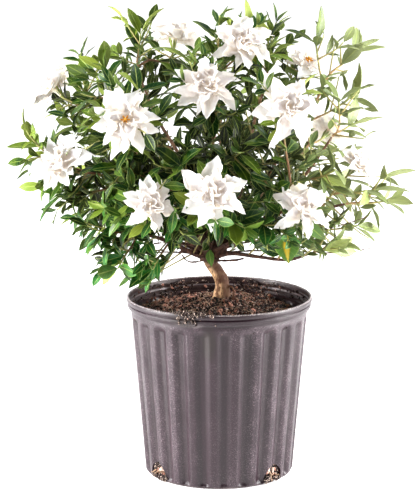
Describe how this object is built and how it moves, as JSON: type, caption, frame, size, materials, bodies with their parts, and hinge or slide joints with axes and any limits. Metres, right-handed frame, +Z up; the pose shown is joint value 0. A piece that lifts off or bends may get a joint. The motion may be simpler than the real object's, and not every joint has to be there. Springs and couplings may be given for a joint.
{
  "type": "potted gardenia bonsai",
  "caption": "Small double-flowered gardenia shrub on a short bent trunk, in a round fluted nursery pot filled with bark soil.",
  "frame": {"origin": "centre of the pot's flat foot, on the surface that it stands on", "axes": "+Z up along the pot's axis, -Y towards the front of the picture, +X to its right"},
  "size_m": [0.3642, 0.3005, 0.4215],
  "materials": {
    "pot_plastic": "satin, dusty",
    "bark_soil": "rough, damp",
    "bark": "rough",
    "leaf_green": "glossy leaf",
    "petal_white": "soft petal",
    "pollen": "powdery"
  },
  "bodies": {
    "root": {"bloom_back_left": "petal_white", "bloom_back_right": "petal_white", "bloom_centre": "petal_white", "bloom_front_left": "petal_white", "bloom_front_right": "petal_white", "bloom_left": "petal_white", "bloom_low_centre": "petal_white", "bloom_low_left": "petal_white", "bloom_low_right": "petal_white", "bloom_right": "petal_white", "bloom_top": "petal_white", "bloom_top_left": "petal_white", "bloom_top_right": "petal_white", "bloom_upper_left": "petal_white", "pot": "pot_plastic", "soil": "bark_soil", "spray_01_low_left": "leaf_green", "spray_02_low_left": "leaf_green", "spray_03_low_left": "leaf_green", "spray_04_left": "leaf_green", "spray_05_left": "leaf_green", "spray_06_left": "leaf_green", "spray_07_left_up": "leaf_green", "spray_08_left_up": "leaf_green", "spray_09_left_up": "leaf_green", "spray_10_back_left_up": "leaf_green", "spray_11_back_left_up": "leaf_green", "spray_12_back_left_up": "leaf_green", "spray_13_centre_up": "leaf_green", "spray_14_centre_up": "leaf_green", "spray_15_centre_up": "leaf_green", "spray_16_centre_up": "leaf_green", "spray_17_right_up": "leaf_green", "spray_18_right_up": "leaf_green", "spray_19_right_arch": "leaf_green", "spray_20_right_arch": "leaf_green", "spray_21_right": "leaf_green", "spray_22_right": "leaf_green", "spray_23_right_low": "leaf_green", "spray_24_right_low": "leaf_green", "spray_25_right_low": "leaf_green", "spray_26_low_right": "leaf_green", "spray_27_low_right": "leaf_green", "spray_28_front": "leaf_green", "spray_29_front": "leaf_green", "spray_30_front_left": "leaf_green", "spray_31_front_right": "leaf_green", "spray_32_front_right": "leaf_green", "spray_33_back_left": "leaf_green", "spray_34_back_left": "leaf_green", "spray_35_back": "leaf_green", "spray_36_back": "leaf_green", "spray_37_back_right": "leaf_green", "spray_38_back_right": "leaf_green", "stamens_front_left": "pollen", "stamens_top_right": "pollen", "trunk_and_limbs": "bark"}
  },
  "joints": []
}
